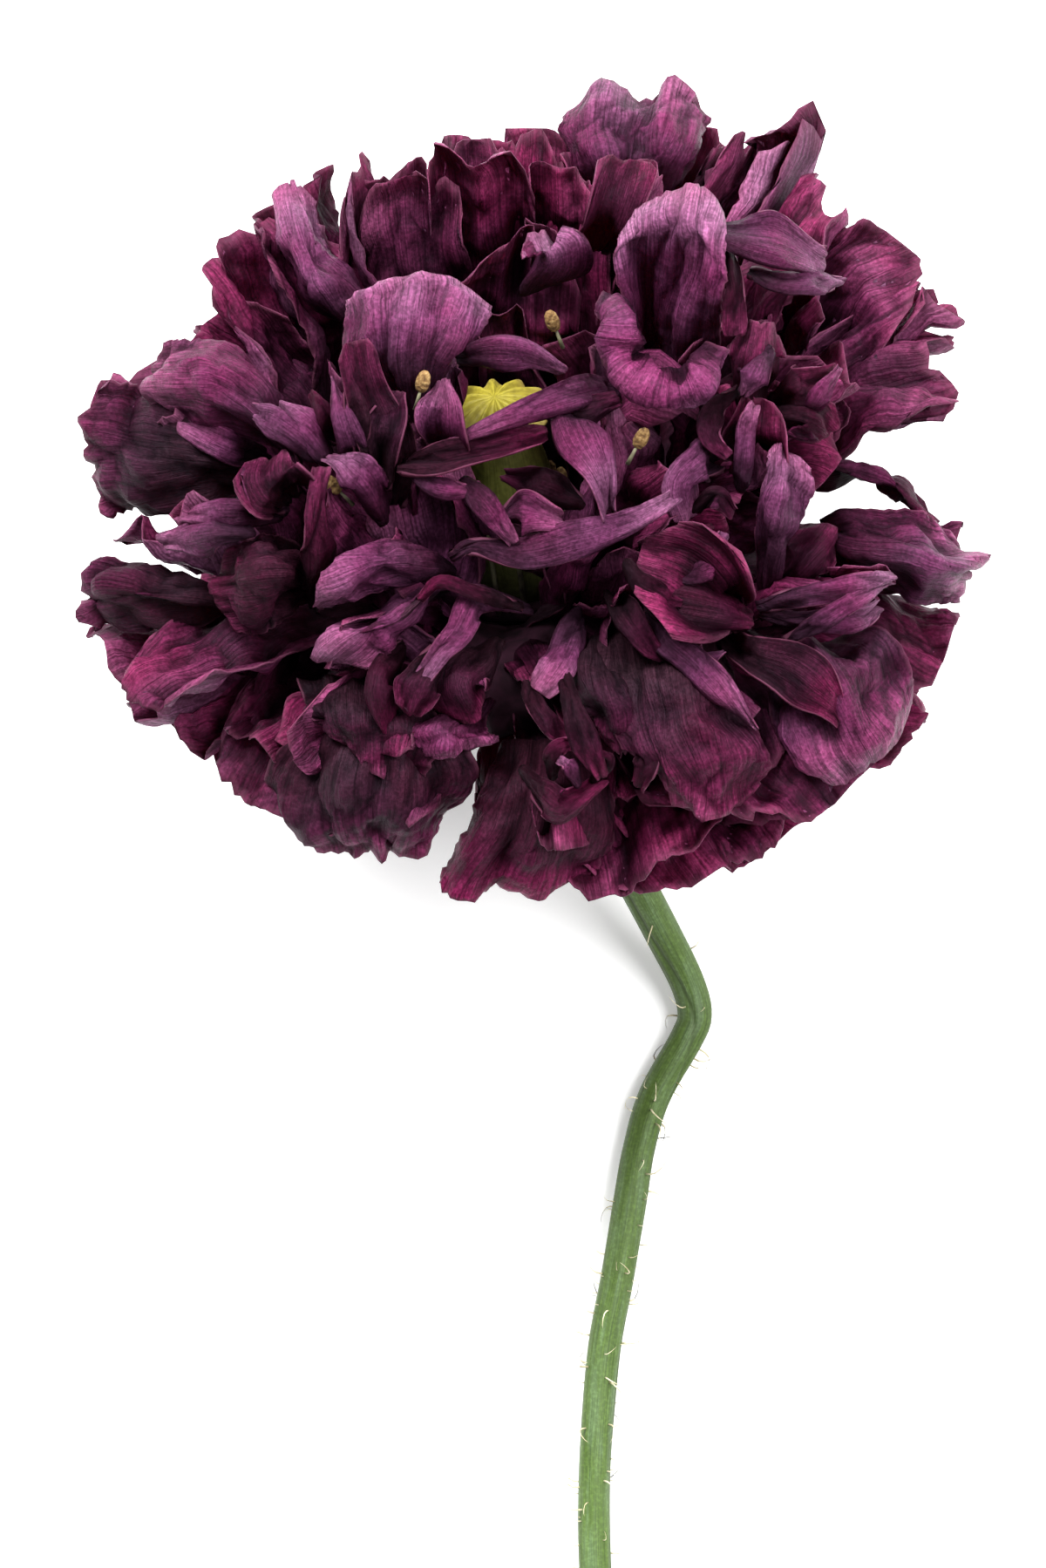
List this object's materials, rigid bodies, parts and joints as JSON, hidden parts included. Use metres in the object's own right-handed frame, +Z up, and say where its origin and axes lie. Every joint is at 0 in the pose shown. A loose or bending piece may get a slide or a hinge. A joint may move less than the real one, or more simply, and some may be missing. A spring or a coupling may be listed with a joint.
{
  "type": "poppy flower",
  "caption": "Cut double poppy bloom lying on its side: crumpled petals in layers round a ribbed seed head, on a slender curved stem.",
  "frame": {"origin": "middle of the bounding box on the table plane under the flower", "axes": "+Z up from the table, +Y from the cut end of the stem towards the bloom, +X to the right seen from above"},
  "size_m": [0.1047, 0.1942, 0.0776],
  "materials": {
    "stem_green": "satin",
    "petal_purple": "matt",
    "pistil_yellow_green": "matt",
    "anther_ochre": "matt"
  },
  "bodies": {
    "root": {"stem": "stem_green", "petals": "petal_purple", "pistil": "pistil_yellow_green", "stamens": "anther_ochre"}
  },
  "joints": []
}
